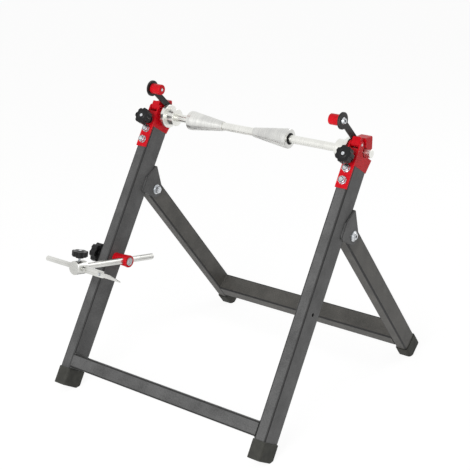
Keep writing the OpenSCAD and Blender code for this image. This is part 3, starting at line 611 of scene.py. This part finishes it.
class STAND_OT_fasteners(bpy.types.Operator):
    """Finish the frame's bolts, nuts and washers, with threaded tails and the lock nuts' soft rings"""

    bl_idname = "stand.fasteners"
    bl_label = "Fasteners"

    # Radius and ends of the threaded tails, ahead of the front face at the heads, and out from an upright's
    # middle at the hinges, whose nuts are on the inner side
    HEAD_TAIL = (5.2, 13.4, 15.7)
    HINGE_TAIL = (5.3, -32.3, -28.5)
    # Radius and height of the soft ring's outline, ahead of the front face
    LOCK_RING = [(4.9, 12.2), (6.4, 12.2), (6.4, 13.9), (5.9, 14.3), (5.3, 14.1), (4.9, 13.6), (4.9, 12.2)]

    def execute(self, context):
        edge = detail_values().screw_edge
        for node in ("frame_bolts", "frame_nuts"):
            soften(node, edge, bright_zinc(), "zinc")
        soften("frame_washers", edge / 2, bright_zinc(), "zinc")
        tails = bmesh.new()
        rings = bmesh.new()
        for side in SIDES.values():
            for s in HEAD_BOLT_S:
                thread(tails, forwards(side, 0, s), *self.HEAD_TAIL)
                lathe(rings, forwards(side, 0, s), self.LOCK_RING)
            outwards = on_upright(side, 0, PIVOT_N, PIVOT_S) @ Matrix.Rotation(math.pi / 2, 4, "Y")
            thread(tails, outwards, *self.HINGE_TAIL)
        piece("bolt_threads", closed(tails), bright_zinc(), "frame", "zinc")
        piece("lock_rings", closed(rings), moulded_plastic(), "frame", "knob_plastic")
        return {"FINISHED"}


class STAND_OT_heads(bpy.types.Operator):
    """Soften the red heads and finish the bearings and pins"""

    bl_idname = "stand.heads"
    bl_label = "Heads"

    def execute(self, context):
        for node in sided("head_bracket", "cradle"):
            soften(node, detail_values().plate_edge, red_coat(), "red_paint")
        dress(sided("bearing_outer", "bearing_inner", "bearing_balls"), bearing_steel())
        dress(["keeper_pins"] + sided("head_stud"), bright_zinc())
        return {"FINISHED"}


class STAND_OT_keepers(bpy.types.Operator):
    """Soften the keepers' caps, levers and grips, and finish their screws"""

    bl_idname = "stand.keepers"
    bl_label = "Keepers"

    def execute(self, context):
        d = detail_values()
        for node in sided("keeper_cap"):
            soften(node, d.block_edge, red_coat(), "red_paint", segments=3)
        for node in sided("keeper_lever"):
            soften(node, d.plate_edge, black_oxide(), "black_steel")
        for node in sided("keeper_grip"):
            soften(node, d.plate_edge, red_coat(), "red_paint")
        for node in sided("keeper_bolt"):
            soften(node, d.screw_edge, bright_zinc(), "zinc")
        return {"FINISHED"}


class STAND_OT_shaft(bpy.types.Operator):
    """Finish the balancing shaft and its collars"""

    bl_idname = "stand.shaft"
    bl_label = "Shaft"

    def execute(self, context):
        dress(["balance_shaft"] + sided("collar"), turned_steel())
        dress(["collar_screws"], black_oxide())
        return {"FINISHED"}


class STAND_OT_cones(bpy.types.Operator):
    """Finish the centring cones and their screws, and swell the ring in each large end"""

    bl_idname = "stand.cones"
    bl_label = "Cones"

    # Radius and height of the ring's outline, out from the end of the solid ring
    RING = [(10.1, -1.2), (13.2, -1.2), (14.4, 0.2), (14.2, 1.1), (13.4, 1.7), (11.2, 1.8), (10.3, 1.2),
            (10.1, -1.2)]

    def execute(self, context):
        dress(sided("cone"), turned_aluminium())
        dress(sided("cone_screw"), black_oxide())
        for name, side in SIDES.items():
            low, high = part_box("cone_ring_" + name)
            end = Vector((high.x if side > 0 else low.x, SHAFT.y, SHAFT.z))
            ring = bmesh.new()
            lathe(ring, facing(end, SIDEWAYS * side), self.RING, steps=48)
            piece(f"cone_ring_{name}_finished", closed(ring), black_rubber(), "cone_" + name, "rubber",
                  "cone_ring_" + name)
        return {"FINISHED"}


class STAND_OT_knobs(bpy.types.Operator):
    """Mould the star knobs, with a metal insert in each face"""

    bl_idname = "stand.knobs"
    bl_label = "Star knobs"

    # Radius and height of an insert's outline, out from the knob's face
    INSERT = [(0, -1.5), (4.2, -1.5), (4.2, 0.3), (3.8, 0.7), (1.9, 0.7), (1.3, 0.1), (0, 0.1)]

    def insert(self, name, place, body):
        """Sets a metal insert in a knob's face."""
        bm = bmesh.new()
        lathe(bm, place, self.INSERT, steps=28)
        piece(name, closed(bm), bright_zinc(), body, "zinc")

    def execute(self, context):
        edge = detail_values().knob_edge
        for node in sided("head_knob") + ["gauge_knob_small", "gauge_knob_large"]:
            soften(node, edge, moulded_plastic(), "knob_plastic", segments=3)
        for name, side in SIDES.items():
            self.insert("head_knob_insert_" + name, forwards(side, KNOB_FACE_N, STUD_S), "head_knob_" + name)
        turn = JOINTS["gauge_knob_small_turn"]
        over = Vector(turn["axis"])
        self.insert("small_knob_insert", facing(Vector(turn["pos_m"]) + over * SMALL_KNOB_FACE * MM, over),
                    "gauge_knob_small")
        face = Vector(JOINTS["gauge_swing"]["pos_m"])
        face.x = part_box("gauge_knob_large")[0].x
        self.insert("large_knob_insert", facing(face, -SIDEWAYS), "gauge_knob_large")
        dress(["gauge_stud_large"], bright_zinc())
        return {"FINISHED"}


class STAND_OT_gauge(bpy.types.Operator):
    """Finish the runout gauge"""

    bl_idname = "stand.gauge"
    bl_label = "Gauge"

    # Width and run of the streaks along the rods, the width wider than life so that it shows
    STREAK_W = 0.8
    STREAK_RUN = 120
    # Radius and ends of the small knob's screw, up from the pointer's axis
    SCREW = (3.0, 7.0, 35.6)

    def execute(self, context):
        d = detail_values()
        along_bar = drawn_steel("bar", (self.STREAK_W, self.STREAK_RUN, self.STREAK_W))
        along_rod = drawn_steel("pointer", (self.STREAK_RUN, self.STREAK_W, self.STREAK_W))
        soften("gauge_sleeve", d.plate_edge, red_coat(), "red_paint")
        soften("gauge_plug", d.screw_edge, bright_zinc(), "zinc")
        soften("gauge_bar", d.screw_edge, along_bar, "turned_steel")
        dress(["gauge_block"], along_bar)
        for node in ("gauge_pointer", "pointer_tip"):
            soften(node, d.screw_edge, along_rod, "turned_steel")
        soften("pointer_screw", d.screw_edge, bright_zinc(), "zinc")
        turn = JOINTS["gauge_knob_small_turn"]
        screw = bmesh.new()
        thread(screw, facing(Vector(turn["pos_m"]), Vector(turn["axis"])), *self.SCREW)
        piece("gauge_screw_small_finished", closed(screw), bright_zinc(), "gauge_knob_small", "zinc",
              "gauge_screw_small")
        return {"FINISHED"}


class STAND_OT_stage(bpy.types.Operator):
    """Set the floor, the soft studio light and the camera"""

    bl_idname = "stand.stage"
    bl_label = "Stage"

    WHITE = (1.0,) * 4
    # Strength of the floor's white share, a little over one so that it stays white under the shadow
    FLOOR_WHITE = 1.12
    # Each lamp's place, the place that it faces, and its width, in metres
    KEY = ((0.5, -2.7, 1.5), (0, 0, 0.35), 1.8)
    BACK = ((1.0, 2.4, 2.2), (0, 0, 0.4), 1.6)
    # The camera's place in metres, its turn in degrees, and the width in millimetres of its sensor
    CAMERA_PLACE = (1.5313, -2.0880, 1.3263)
    CAMERA_TURN = (69.83, 0, 36.5)
    SENSOR_W = 36

    def seen(self, tree):
        """One where the camera looks, or a reflection or see-through path does."""
        path = add(tree, "ShaderNodeLightPath")
        mirror = add(tree, "ShaderNodeMath", {0: path.outputs["Is Glossy Ray"],
                                              1: path.outputs["Is Transmission Ray"]}, operation="ADD")
        return add(tree, "ShaderNodeMath", {0: path.outputs["Is Camera Ray"], 1: mirror.outputs[0]},
                   operation="ADD", use_clamp=True).outputs[0]

    def floor(self, stage):
        """Lays a matt floor that stays white in the picture, but for a faint shadow."""
        bm = bmesh.new()
        bmesh.ops.create_grid(bm, x_segments=1, y_segments=1, size=stage.floor_span / 2)
        mesh = bpy.data.meshes.new("floor")
        bm.to_mesh(mesh)
        bm.free()
        floor = bpy.data.objects.new("floor", mesh)
        bpy.context.scene.collection.objects.link(floor)
        material = bpy.data.materials.new("matt_white_floor")
        material.use_nodes = True
        tree = material.node_tree
        tree.nodes.clear()
        matt = add(tree, "ShaderNodeBsdfDiffuse", {"Color": stage.floor_tone})
        white = add(tree, "ShaderNodeEmission", {"Color": self.WHITE, "Strength": self.FLOOR_WHITE})
        glow = add(tree, "ShaderNodeMath", {0: self.seen(tree), 1: stage.floor_glow}, operation="MULTIPLY")
        mix = add(tree, "ShaderNodeMixShader", {0: glow.outputs[0], 1: matt.outputs[0], 2: white.outputs[0]})
        add(tree, "ShaderNodeOutputMaterial", {"Surface": mix.outputs[0]})
        mesh.materials.append(material)

    def lamp(self, name, place, target, size, power):
        """Hangs a round soft lamp that faces a place."""
        lamp = bpy.data.objects.new(name, bpy.data.lights.new(name, "AREA"))
        lamp.data.shape = "DISK"
        lamp.data.size = size
        lamp.data.energy = power
        lamp.location = place
        lamp.rotation_euler = (Vector(target) - Vector(place)).to_track_quat("-Z", "Y").to_euler()
        bpy.context.scene.collection.objects.link(lamp)

    def sky(self, stage):
        """Lights the stand evenly from all round, in front of a white background."""
        world = bpy.data.worlds.new("white_studio")
        bpy.context.scene.world = world
        world.use_nodes = True
        tree = world.node_tree
        tree.nodes.clear()
        soft = add(tree, "ShaderNodeBackground", {"Color": self.WHITE, "Strength": stage.ambient})
        white = add(tree, "ShaderNodeBackground", {"Color": self.WHITE, "Strength": 1.0})
        mix = add(tree, "ShaderNodeMixShader", {0: self.seen(tree), 1: soft.outputs[0], 2: white.outputs[0]})
        add(tree, "ShaderNodeOutputWorld", {"Surface": mix.outputs[0]})

    def camera(self, stage):
        """Sets the camera where the photo's was."""
        camera = bpy.data.objects.new("camera", bpy.data.cameras.new("camera"))
        camera.data.lens = stage.lens
        camera.data.sensor_width = self.SENSOR_W
        camera.location = self.CAMERA_PLACE
        camera.rotation_euler = [math.radians(turn) for turn in self.CAMERA_TURN]
        bpy.context.scene.collection.objects.link(camera)
        bpy.context.scene.camera = camera

    def execute(self, context):
        stage = context.scene.stand_stage
        context.scene.view_settings.view_transform = "Standard"
        self.floor(stage)
        self.sky(stage)
        self.lamp("key", *self.KEY, stage.key_power)
        self.lamp("back", *self.BACK, stage.rim_power)
        self.camera(stage)
        return {"FINISHED"}


OPERATORS = (
    STAND_OT_tubes, STAND_OT_welds, STAND_OT_hinges, STAND_OT_feet, STAND_OT_fasteners, STAND_OT_heads,
    STAND_OT_keepers, STAND_OT_shaft, STAND_OT_cones, STAND_OT_knobs, STAND_OT_gauge, STAND_OT_stage,
)
GROUPS = {"stand_finish": StandFinish, "stand_detail": StandDetail, "stand_stage": StandStage}


class STAND_PT_panel(bpy.types.Panel):
    """Settings and steps of the stand"""

    bl_idname = "STAND_PT_panel"
    bl_label = "Wheel balancing stand"
    bl_space_type = "VIEW_3D"
    bl_region_type = "UI"
    bl_category = "Stand"

    def draw(self, context):
        for operator in OPERATORS:
            self.layout.operator(operator.bl_idname)
        for name, group in GROUPS.items():
            box = self.layout.box()
            for key in group.__annotations__:
                box.prop(getattr(context.scene, name), key)


def register():
    """Makes the settings, operators and panel known to Blender."""
    for group in GROUPS.values():
        bpy.utils.register_class(group)
    for kind in OPERATORS + (STAND_PT_panel,):
        bpy.utils.register_class(kind)
    for name, group in GROUPS.items():
        setattr(bpy.types.Scene, name, bpy.props.PointerProperty(type=group))


def unregister():
    """Takes them out again."""
    for name in GROUPS:
        delattr(bpy.types.Scene, name)
    for kind in (STAND_PT_panel,) + OPERATORS + tuple(GROUPS.values()):
        bpy.utils.unregister_class(kind)


def main():
    """Runs every step."""
    register()
    for operator in OPERATORS:
        step = operator.bl_idname.split(".")[1]
        getattr(bpy.ops.stand, step)()


if __name__ == "__main__":
    main()
